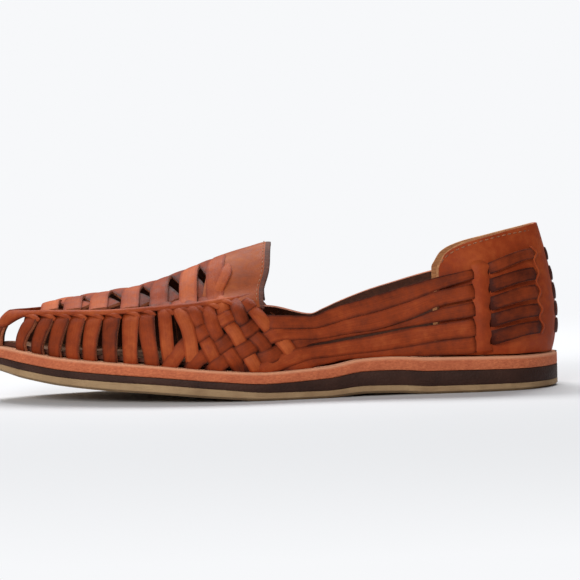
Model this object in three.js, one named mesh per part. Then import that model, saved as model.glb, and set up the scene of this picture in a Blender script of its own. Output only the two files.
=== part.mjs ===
// A woven leather huarache for the left foot: a layered sole, an insole, a hollow upper of woven straps,
// a throat panel, a slotted heel counter, and the straps that show behind the counter's slots.
// Millimetres. The toe points to -X and the heel to +X, the outer side of the foot is -Y, the floor is Z = 0.
import * as THREE from "three";
import { mergeVertices } from "three/addons/utils/BufferGeometryUtils.js";

const HALF_LENGTH = 131; // the sole from its middle to the toe tip, and to the heel
const GAP = 0.3; // between pieces that meet
const TINY = 1e-6;
const LATERAL = -1;
const MEDIAL = 1;
const SOLE_STEPS = 44; // stations along the sole
const SOLE_CHAMFER = 0.6; // the outsole's lower edge leans in by this much
const SHOULDER_DROP = 0.12; // the top's rounding point lies this share of the top's height below the crest

const WALL = 2.4; // woven wall, two straps thick where they cross
const STRAP = 1.8; // one strap alone
const PANEL = 2; // throat panel
const STRAP_LIFT = 0.6; // how far the long straps stand out where they cross the counter
const COUNTER = 2.4; // counter, outer leather and lining together
const COUNTER_DEPTH = 1.6; // how far the counter's outer face lies inside the straps' outer face
const INSOLE = 2;
const INSOLE_INSET = 5.6; // from the upper's base line to the insole's edge
const MEDIAL_LIFT = 1.2; // the inner topline is this much higher

const TOE_STRAP = 4.2; // half width of the strap over the toe tip
const TOE_HOLE = 10.5; // open length beside it
const SIDE_STRAPS = 10;
const SIDE_STRAP = 6.2; // width at the sole
const SIDE_GAP = 3;
const LATTICE_FROM = 4; // lattice holes lie over every second gap behind this strap
const TOP_LEVELS = [1.14, 1.45, 1.74, 2]; // ridge band, the two halves of a lattice hole, and the middle band
const PANEL_FROM = -26; // the lattice ends here and the throat panel begins, at the sole's X
const THROAT = 4; // the throat panel's back edge, at the sole's X
const WEAVE_TO = 18.5; // the basket weave ends and the long straps begin
const PARTING = { 1: 30, 3: 18, 5: 60, 7: 83 }; // where each gap between two long straps opens, by its row
const SLOT = 1.4; // width of the counter's slots
const SLOT_X = 93; // the front row of slots
const SECOND_SLOT_X = 98.6; // the second row, where the short straps come out
const SECOND_ENDS = 115; // the ends of the short straps
const SLOTS_AT = [SLOT_X, SLOT_X + SLOT, SECOND_SLOT_X, SECOND_SLOT_X + SLOT];
const COUNTER_AT = [75, 78.7, 85, ...SLOTS_AT, 106, 113, 120, 126, 131]; // sections of the counter

// A table holds one row per section; its first column is the key, and rows ascend in it.
function table(columns, rows) {
  const names = columns.split(" ");
  return Object.fromEntries(names.map((name, i) => [name, rows.map((row) => row[i])]));
}

// Along the sole: the fullness of each side times the height of an ellipse gives its half width, swing moves
// the middle line towards the inner side, floor is the underside, then each layer's thickness.
const SOLE = table("x lateral medial swing floor outsole wedge midsole margin", [
  [-131, 34, 36, 6.6, 14.4, 3.1, 2.5, 4.8, 3.4],
  [-114, 43.5, 43, 5.9, 11.0, 3.8, 2.9, 5.2, 3.6],
  [-96, 47.5, 45.5, 5.1, 8.0, 4, 2.9, 5.2, 4.0],
  [-74, 49, 46, 4.1, 5.8, 4.2, 2.9, 5.2, 4.0],
  [-50, 49.8, 46, 3.1, 4.0, 4.3, 2.8, 5, 4.0],
  [-26, 49.2, 44.5, 2.15, 1.8, 4.2, 2.9, 4.8, 4.0],
  [0, 46.5, 39, 2.15, 0, 3.6, 3.6, 5, 4.0],
  [24, 42.5, 32.5, 2.15, 0, 3.4, 5.0, 5.2, 4.0],
  [42, 40.5, 30.5, 2.15, 1.3, 3.5, 6.1, 5.7, 3.6],
  [57, 40.5, 31.5, 2.15, 1.0, 3.5, 6.4, 5.9, 3.2],
  [72, 42, 34, 2.15, 0, 3.5, 6.4, 5.9, 3.0],
  [100, 50.5, 46, 2.15, 0, 3.4, 6.2, 5.7, 2.6],
  [117, 58, 55, 2.15, 0, 3.3, 6.1, 5.5, 2.2],
  [131, 60, 58, 2.15, 0, 3.3, 6.1, 5.5, 1.8],
]);

// The upper's guide lines, keyed by the sole's X. rim is the line where the side turns over into the
// top: its X, its height, and its spread, which is to its half width what fullness is to the sole's. belly
// and rise place the point that rounds the side out. crest is the top middle line.
const UPPER = table("x rimX spread height belly rise crestX crest", [
  [-131, -119.5, 15, 40.4, 1.0, 0.82, -111, 42.8],
  [-121, -112, 17.5, 41.2, 1.4, 0.86, -106, 43.5],
  [-103, -97, 21.5, 42.9, 1.8, 0.88, -92, 46.0],
  [-86, -82, 24.5, 43.3, 2.2, 0.9, -77, 48.3],
  [-66, -65.5, 27.2, 43.7, 2.2, 0.9, -60, 51.0],
  [-48, -50, 29.0, 44.5, 2.0, 0.9, -45, 55.6],
  [-37, -41, 29.7, 45.2, 2.0, 0.88, -36.5, 58.7],
  [-20, -26, 30.2, 46.4, 1.6, 0.84, -21, 64.2],
  [-6, -12, 29.2, 48.4, 1.4, 0.78, -9.5, 67.4],
  [4, -2.5, 28.0, 50.2, 1.2, 0.7, -1.2, 69.2],
  [26, 24, 26.0, 50.5, 1.2, 0.6, 24, 60],
  [52, 52, 27.2, 54.0, 1.6, 0.5, 52, 60],
  [78, 78, 31.1, 64.0, 2.6, 0.42, 78, 68],
  [92, 91, 32.6, 70.5, 3.6, 0.36, 91, 74],
  [108, 106, 33.0, 73.5, 5.0, 0.32, 106, 76],
  [121, 117.3, 32.5, 74.8, 7.0, 0.3, 117.3, 77],
  [131, 123.4, 31.0, 75.3, 8.0, 0.3, 123.4, 77],
]);

// Heights of the five long straps' edges, from the lowest strap's lower edge up to the topline.
const STRAPS = table("x e0 e1 e2 e3 e4 e5 e6 e7 e8 e9", [
  [0, 14.5, 18.2, 18.9, 23.5, 24.2, 28.5, 29.2, 33.5, 34.2, 38.3],
  [10.5, 14.6, 18.2, 18.9, 23.5, 24.1, 27.5, 28.1, 31.5, 32.1, 35.0],
  [18.5, 14.9, 17.9, 18.8, 23.6, 24.7, 27.2, 27.8, 31.7, 32.4, 36.5],
  [33, 17.6, 19.0, 19.8, 25.3, 26.8, 28.6, 29.6, 35.0, 35.7, 40.8],
  [47, 17.9, 20.0, 20.9, 27.2, 28.6, 29.9, 31.2, 38.0, 38.7, 44.3],
  [61.5, 18.0, 21.8, 22.6, 29.6, 30.6, 33.4, 35.0, 41.8, 42.5, 48.3],
  [76, 18.0, 23.8, 24.9, 31.2, 32.6, 38.0, 39.8, 46.2, 47.0, 52.3],
  [92.5, 18.8, 25.4, 26.4, 33.3, 34.8, 41.0, 42.6, 49.2, 51.4, 55.8],
  [98.5, 20.8, 27.2, 29.0, 34.8, 36.6, 42.4, 44.6, 50.6, 52.9, 57.8],
  [121, 25.4, 30.9, 33.2, 38.7, 41.0, 47.3, 49.6, 55.1, 59.2, 63.7],
  [133, 24.5, 30.0, 32.3, 37.8, 40.1, 46.4, 48.7, 54.2, 58.0, 62.8],
]);
const STRAP_EDGES = "e0 e1 e2 e3 e4 e5 e6 e7 e8 e9".split(" ");
const SIDE_ROWS = STRAP_EDGES.length - 1;

// The counter's upper edge from its front corner to the middle of the heel, keyed by X at that edge.
const COUNTER_EDGE = table("x height", [
  [75, 57.5],
  [78.7, 63.5],
  [85, 67.4],
  [98, 71.2],
  [112, 73.9],
  [123.4, 75.0],
]);

// The throat panel's lower edge, keyed by the sole's X.
const PANEL_EDGE = table("x height", [
  [-27, 46.4],
  [-14, 44.6],
  [4, 40.6],
]);

// The slope at row i of a curve that keeps level stretches level and never overshoots its rows.
function slopeAt(keys, values, i) {
  if (i === 0 || i === keys.length - 1) return 0;
  const before = (values[i] - values[i - 1]) / (keys[i] - keys[i - 1]);
  const after = (values[i + 1] - values[i]) / (keys[i + 1] - keys[i]);
  return before * after <= 0 ? 0 : (2 * before * after) / (before + after);
}

// The value of a table's column at a key, on a smooth curve through its rows.
function follow(from, column, at) {
  const keys = from.x;
  const values = from[column];
  const last = keys.length - 1;
  if (at <= keys[0]) return values[0];
  if (at >= keys[last]) return values[last];
  const i = keys.findIndex((key) => key > at) - 1;
  const span = keys[i + 1] - keys[i];
  const t = (at - keys[i]) / span;
  const low = slopeAt(keys, values, i) * span;
  const high = slopeAt(keys, values, i + 1) * span;
  const fall = 2 * t ** 3 - 3 * t ** 2;
  return (
    values[i] * (1 + fall) - values[i + 1] * fall + low * (t ** 3 - 2 * t ** 2 + t) + high * (t ** 3 - t ** 2)
  );
}

// A point of the sole's outline: angle 0 is the toe tip and PI the middle of the heel.
function outline(side, angle) {
  const x = -HALF_LENGTH * Math.cos(angle);
  const fullness = follow(SOLE, side === LATERAL ? "lateral" : "medial", x);
  return new THREE.Vector2(x, follow(SOLE, "swing", x) + side * fullness * Math.sin(angle));
}

// The outline moved inwards by a distance that may change along it.
function inset(side, angle, distance) {
  const step = 0.01;
  const point = outline(side, angle);
  const along = outline(side, Math.min(angle + step, Math.PI)).sub(outline(side, Math.max(angle - step, 0)));
  const inwards = new THREE.Vector2(-along.y, along.x).multiplyScalar(-side).normalize();
  if (angle < TINY) inwards.set(1, 0);
  if (angle > Math.PI - TINY) inwards.set(-1, 0);
  return point.addScaledVector(inwards, distance);
}

function margin(angle) {
  return follow(SOLE, "margin", -HALF_LENGTH * Math.cos(angle));
}

function soleTop(x) {
  const layers = follow(SOLE, "outsole", x) + follow(SOLE, "wedge", x) + follow(SOLE, "midsole", x);
  return follow(SOLE, "floor", x) + layers + 2 * GAP;
}

// The angle at which the sole reaches an X.
function angleAt(x) {
  return Math.acos(-x / HALF_LENGTH);
}

// The angle at a length along the upper's outer base line, from the toe tip.
function angleAlong(length) {
  const step = Math.PI / 2000;
  let angle = 0;
  let walked = 0;
  let point = baseAt(LATERAL, 0);
  while (walked < length) {
    angle += step;
    const next = baseAt(LATERAL, angle);
    walked += next.distanceTo(point);
    point = next;
  }
  return angle;
}

// The upper's base line, where it meets the sole.
function baseAt(side, angle) {
  return inset(side, angle, margin(angle));
}

function bend(a, control, b, t) {
  return a
    .clone()
    .multiplyScalar((1 - t) ** 2)
    .addScaledVector(control, 2 * t * (1 - t))
    .addScaledVector(b, t * t);
}

// The outer face of the upper. level 0 is the base line, 1 the rim and 2 the crest.
function form(side, angle, level) {
  const guide = (column) => follow(UPPER, column, -HALF_LENGTH * Math.cos(angle));
  const base = baseAt(side, angle);
  const rimX = guide("rimX");
  const foot = new THREE.Vector3(base.x, base.y, soleTop(base.x) + GAP);
  const rimY = follow(SOLE, "swing", rimX) + side * guide("spread") * Math.sin(angle);
  const rim = new THREE.Vector3(rimX, rimY, guide("height"));
  if (level <= 1) {
    const outer = inset(side, angle, margin(angle) - guide("belly"));
    const belly = new THREE.Vector3(outer.x, outer.y, foot.z);
    belly.x += (rim.x - foot.x) * 0.25;
    belly.z += (rim.z - foot.z) * guide("rise");
    return bend(foot, belly, rim, level);
  }
  const crestX = guide("crestX");
  const crest = new THREE.Vector3(crestX, follow(SOLE, "swing", crestX), guide("crest"));
  const shoulder = rim.clone().lerp(crest, 0.5);
  shoulder.z = crest.z - (crest.z - rim.z) * SHOULDER_DROP;
  return bend(rim, shoulder, crest, level - 1);
}

// The level at which a side reaches a height.
function levelAt(side, angle, height) {
  let low = 0;
  let high = 1;
  for (let i = 0; i < 24; i++) {
    const middle = (low + high) / 2;
    if (form(side, angle, middle).z < height) low = middle;
    else high = middle;
  }
  return low;
}

function material(color, roughness) {
  return new THREE.MeshStandardMaterial({ color, roughness, metalness: 0 });
}

const looks = {
  strap: () => material(0x8f4628, 0.5),
  panel: () => material(0x7d3b22, 0.45),
  midsole: () => material(0xc07a52, 0.8),
  wedge: () => material(0x3a2620, 0.7),
  outsole: () => material(0xa98a64, 0.75),
  insole: () => material(0x9a7a58, 0.8),
};

// A closed shell over some cells of one or more point grids: the outer face, the same moved inwards, and
// walls round every open edge. Each grid has points[i][j], a full(i, j) test, and a turned flag where its
// rows and columns run the other way round. Grids that share points are joined there.
function shell(grids, outerDepth, innerDepth) {
  const places = new Map();
  const points = [];
  const normals = [];
  const indexOf = (point) => {
    const key = [point.x, point.y, point.z].map((value) => Math.round(value * 200)).join();
    if (!places.has(key)) {
      places.set(key, points.length);
      points.push(point);
      normals.push(new THREE.Vector3());
    }
    return places.get(key);
  };
  const faces = [];
  for (const { points: grid, full, turned } of grids) {
    for (let i = 0; i + 1 < grid.length; i++) {
      for (let j = 0; j + 1 < grid[i].length; j++) {
        const corners = [grid[i][j], grid[i + 1][j], grid[i + 1][j + 1], grid[i][j + 1]].map(indexOf);
        if (turned) corners.reverse();
        const [a, b, c, d] = corners.map((corner) => points[corner]);
        const across = c.clone().sub(a).cross(d.clone().sub(b));
        corners.forEach((corner) => normals[corner].add(across));
        if (full(i, j)) faces.push(corners);
      }
    }
  }
  normals.forEach((normal) => normal.normalize());
  const edges = new Map();
  for (const corners of faces) {
    corners.forEach((corner, i) => {
      const next = corners[(i + 1) % 4];
      if (corner !== next) edges.set(`${corner},${next}`, [corner, next]);
    });
  }
  const count = points.length;
  const depthOf = (depth, i) => (typeof depth === "function" ? depth(points[i]) : depth);
  const moved = (depth) => points.map((p, i) => p.clone().addScaledVector(normals[i], -depthOf(depth, i)));
  const vertices = [...moved(outerDepth), ...moved(innerDepth)];
  const triangles = [];
  const quad = (a, b, c, d) => {
    if (a !== b && b !== c && a !== c) triangles.push(a, b, c);
    if (a !== c && c !== d && a !== d) triangles.push(a, c, d);
  };
  for (const [a, b, c, d] of faces) {
    quad(a, b, c, d);
    quad(d + count, c + count, b + count, a + count);
  }
  for (const [a, b] of edges.values()) {
    if (!edges.has(`${b},${a}`)) quad(b, a, a + count, b + count);
  }
  return solid(vertices, triangles);
}

function solid(vertices, triangles) {
  const geometry = new THREE.BufferGeometry().setFromPoints(vertices);
  geometry.setIndex(triangles);
  const closed = mergeVertices(geometry, 1e-3);
  closed.computeVertexNormals();
  return closed;
}

function mesh(name, geometry, look) {
  const made = new THREE.Mesh(geometry, look());
  made.name = name;
  return made;
}

// One layer of the sole between two heights, its outline moved inwards by a distance.
function layer(low, high, distance, bottomInset) {
  const rings = [
    { height: low, extra: bottomInset },
    { height: high, extra: 0 },
  ];
  const vertices = [];
  const triangles = [];
  for (const { height, extra } of rings) {
    for (let i = 0; i <= SOLE_STEPS; i++) {
      const angle = (Math.PI * i) / SOLE_STEPS;
      for (const side of [LATERAL, MEDIAL]) {
        const point = inset(side, angle, distance(angle) + extra);
        vertices.push(new THREE.Vector3(point.x, point.y, height(point.x)));
      }
    }
  }
  const ring = 2 * (SOLE_STEPS + 1);
  for (let i = 0; i < SOLE_STEPS; i++) {
    const [a, b, c, d] = [2 * i, 2 * i + 1, 2 * i + 3, 2 * i + 2];
    triangles.push(a, c, d, a, b, c);
    triangles.push(a + ring, d + ring, c + ring, a + ring, c + ring, b + ring);
    triangles.push(a, d, d + ring, a, d + ring, a + ring);
    triangles.push(b, c + ring, c, b, b + ring, c + ring);
  }
  const flat = triangles.filter((_, i) => {
    const [p, q, r] = triangles.slice(i - (i % 3), i - (i % 3) + 3).map((corner) => vertices[corner]);
    return p.distanceTo(q) > 1e-3 && q.distanceTo(r) > 1e-3 && r.distanceTo(p) > 1e-3;
  });
  return solid(vertices, flat);
}

function makeSole() {
  const sum = (x, ...columns) => columns.reduce((total, column) => total + follow(SOLE, column, x), 0);
  const none = () => 0;
  return [
    mesh(
      "outsole",
      layer((x) => sum(x, "floor"), (x) => sum(x, "floor", "outsole"), none, SOLE_CHAMFER),
      looks.outsole,
    ),
    mesh(
      "midsole_wedge",
      layer(
        (x) => sum(x, "floor", "outsole") + GAP,
        (x) => sum(x, "floor", "outsole", "wedge") + GAP,
        none,
        0,
      ),
      looks.wedge,
    ),
    mesh(
      "leather_midsole",
      layer((x) => sum(x, "floor", "outsole", "wedge") + 2 * GAP, soleTop, none, 0),
      looks.midsole,
    ),
    mesh(
      "insole",
      layer(
        (x) => soleTop(x) + GAP,
        (x) => soleTop(x) + GAP + INSOLE,
        (angle) => margin(angle) + INSOLE_INSET,
        0,
      ),
      looks.insole,
    ),
  ];
}

// The sole's X at each side strap's edges, from the toe backwards.
function strapEdges() {
  const lengths = [0, TOE_STRAP, TOE_STRAP + TOE_HOLE / 2, TOE_STRAP + TOE_HOLE];
  for (let k = 0; k < SIDE_STRAPS; k++) {
    const start = TOE_STRAP + TOE_HOLE + k * (SIDE_STRAP + SIDE_GAP);
    lengths.push(start + SIDE_STRAP);
    if (k < SIDE_STRAPS - 1) lengths.push(start + SIDE_STRAP + SIDE_GAP);
  }
  return lengths.map((length) => -HALF_LENGTH * Math.cos(angleAlong(length)));
}

function sideHeight(side, x, edge) {
  const lift = side === MEDIAL ? MEDIAL_LIFT * THREE.MathUtils.smoothstep(x, THROAT, 30) : 0;
  return follow(STRAPS, edge, x) + lift;
}

// Half of the woven upper, as a grid over one side: the side straps, the basket weave and the long straps.
function weaveGrid(side) {
  const front = strapEdges();
  const basket = [-36, -29.5, PANEL_FROM, -14, -7, THROAT - 2, THROAT, 10.5, WEAVE_TO];
  const long = [33, 47, 61.5, ...COUNTER_AT.slice(0, 3), SLOT_X - 2 * GAP];
  const xs = [...front, ...basket.filter((x) => x > front.at(-1) + 2), ...long];
  const points = xs.map((x) => {
    const angle = angleAt(x);
    const underPanel = x > PANEL_FROM + 1 && x < THROAT;
    const top = underPanel ? levelAt(side, angle, follow(PANEL_EDGE, "height", x) - GAP) : 1;
    const share = THREE.MathUtils.smoothstep(x, -30, THROAT);
    const column = [];
    for (let j = 0; j <= SIDE_ROWS; j++) {
      const even = (j / SIDE_ROWS) * top;
      const height = Math.max(sideHeight(side, x, STRAP_EDGES[j]), soleTop(x) + 0.5 + j / 2);
      const byStrap = levelAt(side, angle, height);
      column.push(form(side, angle, even + (byStrap - even) * share));
    }
    return [...column, ...TOP_LEVELS.map((level) => form(side, angle, level))];
  });
  const full = (i, j) => {
    if (i < front.length - 1) return j < SIDE_ROWS ? sideIsFull(i, j) : !isLatticeHole(i, j);
    if (j >= SIDE_ROWS) return xs[i + 1] < PANEL_FROM + 1;
    return xs[i] < WEAVE_TO - 1 || isStrap(xs[i], j);
  };
  return { points, full, turned: side === MEDIAL };
}

// Columns 1 and 2 are the hole beside the toe strap; after it, straps and gaps take turns.
function sideIsFull(i, j) {
  if (i === 1 || i === 2) return j === SIDE_ROWS - 1;
  return i < 4 || i % 2 === 1;
}

function isLatticeHole(i, j) {
  const inRow = j === SIDE_ROWS + 1 || j === SIDE_ROWS + 2;
  return inRow && i > 2 * LATTICE_FROM && i % 4 === 0;
}

// Long straps are the even rows; a gap row stays closed until its straps part.
function isStrap(x, row) {
  return row % 2 === 0 || x < PARTING[row];
}

function makeUpper() {
  const lift = (point) => STRAP_LIFT * THREE.MathUtils.smoothstep(point.x, 56, 74);
  const single = (point) => THREE.MathUtils.smoothstep(point.x, WEAVE_TO, 50);
  const thickness = (point) => WALL - (WALL - STRAP) * single(point);
  return mesh(
    "woven_upper",
    shell([weaveGrid(LATERAL), weaveGrid(MEDIAL)], (p) => -lift(p), (p) => thickness(p) - lift(p)),
    looks.strap,
  );
}

function makePanel() {
  const grids = [LATERAL, MEDIAL].map((side) => {
    const xs = [PANEL_FROM + 0.5, -21, -14, -6, THROAT];
    const points = xs.map((x) => {
      const angle = angleAt(x);
      const low = levelAt(side, angle, follow(PANEL_EDGE, "height", x));
      return [low, (low + 1) / 2, 1, ...TOP_LEVELS].map((level) => form(side, angle, level));
    });
    return { points, full: () => true, turned: side === MEDIAL };
  });
  return mesh("throat_panel", shell(grids, 0, PANEL), looks.panel);
}

function makeCounter() {
  const rows = STRAP_EDGES.length + 1;
  const grids = [LATERAL, MEDIAL].map((side) => {
    const points = COUNTER_AT.map((x) => {
      const angle = angleAt(x);
      const crown = follow(COUNTER_EDGE, "height", follow(UPPER, "rimX", x));
      const heights = STRAP_EDGES.map((edge, j) => Math.min(follow(STRAPS, edge, x), crown - rows + j));
      const levels = [0, ...[...heights, crown].map((height) => levelAt(side, angle, height))];
      return levels.map((level) => form(side, angle, level));
    });
    const isSlot = (i, j) => (i === 3 || i === 5) && j > 0 && j < rows && j % 2 === 1;
    return { points, full: (i, j) => !isSlot(i, j), turned: side === MEDIAL };
  });
  return mesh("heel_counter", shell(grids, COUNTER_DEPTH, COUNTER_DEPTH + COUNTER), looks.panel);
}

// A short strap that stands proud of the counter over some of its length.
function shortStrap(name, sides, xs, row, proud) {
  const grids = sides.map((side) => {
    const points = xs.map((x) => {
      const angle = angleAt(x);
      const low = follow(STRAPS, STRAP_EDGES[2 * row], x);
      const high = follow(STRAPS, STRAP_EDGES[2 * row + 1], x);
      return [low, (low + high) / 2, high].map((height) => form(side, angle, levelAt(side, angle, height)));
    });
    return { points, full: () => true, turned: side === MEDIAL };
  });
  return mesh(name, shell(grids, -proud, COUNTER_DEPTH - GAP), looks.strap);
}

function makeShortStraps() {
  const straps = [];
  for (let row = 0; row < SIDE_ROWS / 2; row++) {
    const along = [...COUNTER_AT.slice(6, 9), SECOND_ENDS + row];
    straps.push(shortStrap(`counter_strap_lateral_${row + 1}`, [LATERAL], along, row, 0.2));
    straps.push(shortStrap(`counter_strap_medial_${row + 1}`, [MEDIAL], along, row, 0.2));
    straps.push(shortStrap(`heel_loop_${row + 1}`, [LATERAL, MEDIAL], [125.5, 129.3, 131], row, 0.4));
  }
  return straps;
}

const huarache = new THREE.Group();
huarache.add(...makeSole(), makeUpper(), makePanel(), makeCounter(), ...makeShortStraps());

export default huarache;
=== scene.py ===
import math
import random
import bmesh
import bpy
from mathutils import Matrix, Vector


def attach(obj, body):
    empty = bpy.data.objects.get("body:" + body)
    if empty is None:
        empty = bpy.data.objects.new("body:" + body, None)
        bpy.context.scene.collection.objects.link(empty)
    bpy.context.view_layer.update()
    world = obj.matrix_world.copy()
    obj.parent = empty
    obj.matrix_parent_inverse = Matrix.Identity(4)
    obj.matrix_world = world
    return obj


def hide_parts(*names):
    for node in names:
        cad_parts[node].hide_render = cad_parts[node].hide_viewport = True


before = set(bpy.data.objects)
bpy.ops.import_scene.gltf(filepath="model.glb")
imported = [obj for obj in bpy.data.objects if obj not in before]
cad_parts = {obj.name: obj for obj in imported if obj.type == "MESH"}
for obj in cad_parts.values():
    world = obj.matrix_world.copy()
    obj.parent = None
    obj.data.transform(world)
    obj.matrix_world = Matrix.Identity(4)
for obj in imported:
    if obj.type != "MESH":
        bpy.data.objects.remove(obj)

# The sandal is worked out in millimetres and made in metres. Toe to -X, heel to +X, outer side to -Y.
mm = 0.001
lateral, medial = -1, 1
halfLength = 131
midsoleRise = 0.6  # of the sole's top over the sum of its layers
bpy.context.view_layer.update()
chance = random.Random(7)


def table(columns, *rows):
    return {name: [row[i] for row in rows] for i, name in enumerate(columns.split())}


sole = table(
    "x lateral medial swing floor outsole wedge midsole margin",
    (-131, 34, 36, 6.6, 14.4, 3.1, 2.5, 4.8, 3.4),
    (-114, 43.5, 43, 5.9, 11.0, 3.8, 2.9, 5.2, 3.6),
    (-96, 47.5, 45.5, 5.1, 8.0, 4, 2.9, 5.2, 4.0),
    (-74, 49, 46, 4.1, 5.8, 4.2, 2.9, 5.2, 4.0),
    (-50, 49.8, 46, 3.1, 4.0, 4.3, 2.8, 5, 4.0),
    (-26, 49.2, 44.5, 2.15, 1.8, 4.2, 2.9, 4.8, 4.0),
    (0, 46.5, 39, 2.15, 0, 3.6, 3.6, 5, 4.0),
    (24, 42.5, 32.5, 2.15, 0, 3.4, 5.0, 5.2, 4.0),
    (42, 40.5, 30.5, 2.15, 1.3, 3.5, 6.1, 5.7, 3.6),
    (57, 40.5, 31.5, 2.15, 1.0, 3.5, 6.4, 5.9, 3.2),
    (72, 42, 34, 2.15, 0, 3.5, 6.4, 5.9, 3.0),
    (100, 50.5, 46, 2.15, 0, 3.4, 6.2, 5.7, 2.6),
    (117, 58, 55, 2.15, 0, 3.3, 6.1, 5.5, 2.2),
    (131, 60, 58, 2.15, 0, 3.3, 6.1, 5.5, 1.8),
)

# Guide lines of the upper by the sole's x: the rim where side turns into top, and the crest along the top
upper = table(
    "x rimX spread height belly rise crestX crest",
    (-131, -119.5, 15, 40.4, 1.0, 0.82, -111, 42.8),
    (-121, -112, 17.5, 41.2, 1.4, 0.86, -106, 43.5),
    (-103, -97, 21.5, 42.9, 1.8, 0.88, -92, 46.0),
    (-86, -82, 24.5, 43.3, 2.2, 0.9, -77, 48.3),
    (-66, -65.5, 27.2, 43.7, 2.2, 0.9, -60, 51.0),
    (-48, -50, 29.0, 44.5, 2.0, 0.9, -45, 55.6),
    (-37, -41, 29.7, 45.2, 2.0, 0.88, -36.5, 58.7),
    (-20, -26, 30.2, 46.4, 1.6, 0.84, -21, 64.2),
    (-6, -12, 29.2, 48.4, 1.4, 0.78, -9.5, 67.4),
    (4, -2.5, 28.0, 50.2, 1.2, 0.7, -1.2, 69.2),
    (26, 24, 26.0, 50.5, 1.2, 0.6, 24, 60),
    (52, 52, 27.2, 54.0, 1.6, 0.5, 52, 60),
    (78, 78, 31.1, 64.0, 2.6, 0.42, 78, 68),
    (92, 91, 32.6, 70.5, 3.6, 0.36, 91, 74),
    (108, 106, 33.0, 73.5, 5.0, 0.32, 106, 76),
    (121, 117.3, 32.5, 74.8, 7.0, 0.3, 117.3, 77),
    (131, 123.4, 31.0, 75.3, 8.0, 0.3, 123.4, 77),
)

# Heights of the edges of the five long straps, the lowest strap first
longStraps = table(
    "x e0 e1 e2 e3 e4 e5 e6 e7 e8 e9",
    (0, 14.5, 18.2, 18.9, 23.5, 24.2, 28.5, 29.2, 33.5, 34.2, 38.3),
    (10.5, 14.6, 18.2, 18.9, 23.5, 24.1, 27.5, 28.1, 31.5, 32.1, 35.0),
    (18.5, 14.9, 17.9, 18.8, 23.6, 24.7, 27.2, 27.8, 31.7, 32.4, 36.5),
    (33, 17.6, 19.0, 19.8, 25.3, 26.8, 28.6, 29.6, 35.0, 35.7, 40.8),
    (47, 17.9, 20.0, 20.9, 27.2, 28.6, 29.9, 31.2, 38.0, 38.7, 44.3),
    (61.5, 18.0, 21.8, 22.6, 29.6, 30.6, 33.4, 35.0, 41.8, 42.5, 48.3),
    (76, 18.0, 23.8, 24.9, 31.2, 32.6, 38.0, 39.8, 46.2, 47.0, 52.3),
    (92.5, 18.8, 25.4, 26.4, 33.3, 34.8, 41.0, 42.6, 49.2, 51.4, 55.8),
    (98.5, 20.8, 27.2, 29.0, 34.8, 36.6, 42.4, 44.6, 50.6, 52.9, 57.8),
    (121, 25.4, 30.9, 33.2, 38.7, 41.0, 47.3, 49.6, 55.1, 59.2, 63.7),
    (133, 24.5, 30.0, 32.3, 37.8, 40.1, 46.4, 48.7, 54.2, 58.0, 62.8),
)
counterEdge = table(
    "x height", (75, 57.5), (78.7, 63.5), (85, 67.4), (98, 71.2), (112, 73.9), (123.4, 75.0)
)
panelEdge = table("x height", (-27, 46.4), (-14, 44.6), (4, 40.6))


def slopeAt(keys, values, i):
    if i == 0 or i == len(keys) - 1:
        return 0
    before = (values[i] - values[i - 1]) / (keys[i] - keys[i - 1])
    after = (values[i + 1] - values[i]) / (keys[i + 1] - keys[i])
    return 0 if before * after <= 0 else 2 * before * after / (before + after)


# A table's value between its rows, smooth and without overshoot
def follow(source, column, at):
    keys, values = source["x"], source[column]
    if at <= keys[0]:
        return values[0]
    if at >= keys[-1]:
        return values[-1]
    i = next(i for i, key in enumerate(keys) if key > at) - 1
    span = keys[i + 1] - keys[i]
    t = (at - keys[i]) / span
    low, high = slopeAt(keys, values, i) * span, slopeAt(keys, values, i + 1) * span
    fall = 2 * t**3 - 3 * t**2
    return (values[i] * (1 + fall) - values[i + 1] * fall
            + low * (t**3 - 2 * t**2 + t) + high * (t**3 - t**2))


# The lower and upper edge of a long strap at x, row 0 the lowest strap
def strapEdges(row, x):
    return [follow(longStraps, "e" + str(2 * row + end), x) for end in (0, 1)]


def smooth(value, low, high):
    t = min(max((value - low) / (high - low), 0), 1)
    return t * t * (3 - 2 * t)


def outline(side, angle):
    x = -halfLength * math.cos(angle)
    full = follow(sole, "lateral" if side == lateral else "medial", x)
    return Vector((x, follow(sole, "swing", x) + side * full * math.sin(angle)))


# The sole's outline moved inwards
def inset(side, angle, distance):
    step = 0.01
    along = outline(side, min(angle + step, math.pi)) - outline(side, max(angle - step, 0))
    inwards = Vector((-along.y, along.x)).normalized() * -side
    if angle < 1e-6:
        inwards = Vector((1, 0))
    if angle > math.pi - 1e-6:
        inwards = Vector((-1, 0))
    return outline(side, angle) + inwards * distance


# The height reached by some of the sole's layers at x, from the floor up
def stacked(layers, x):
    return sum(follow(sole, layer, x) for layer in layers)


def soleTop(x):
    return stacked(("floor", "outsole", "wedge", "midsole"), x) + midsoleRise


def angleAt(x):
    return math.acos(min(max(-x / halfLength, -1), 1))


sections = {}


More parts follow.
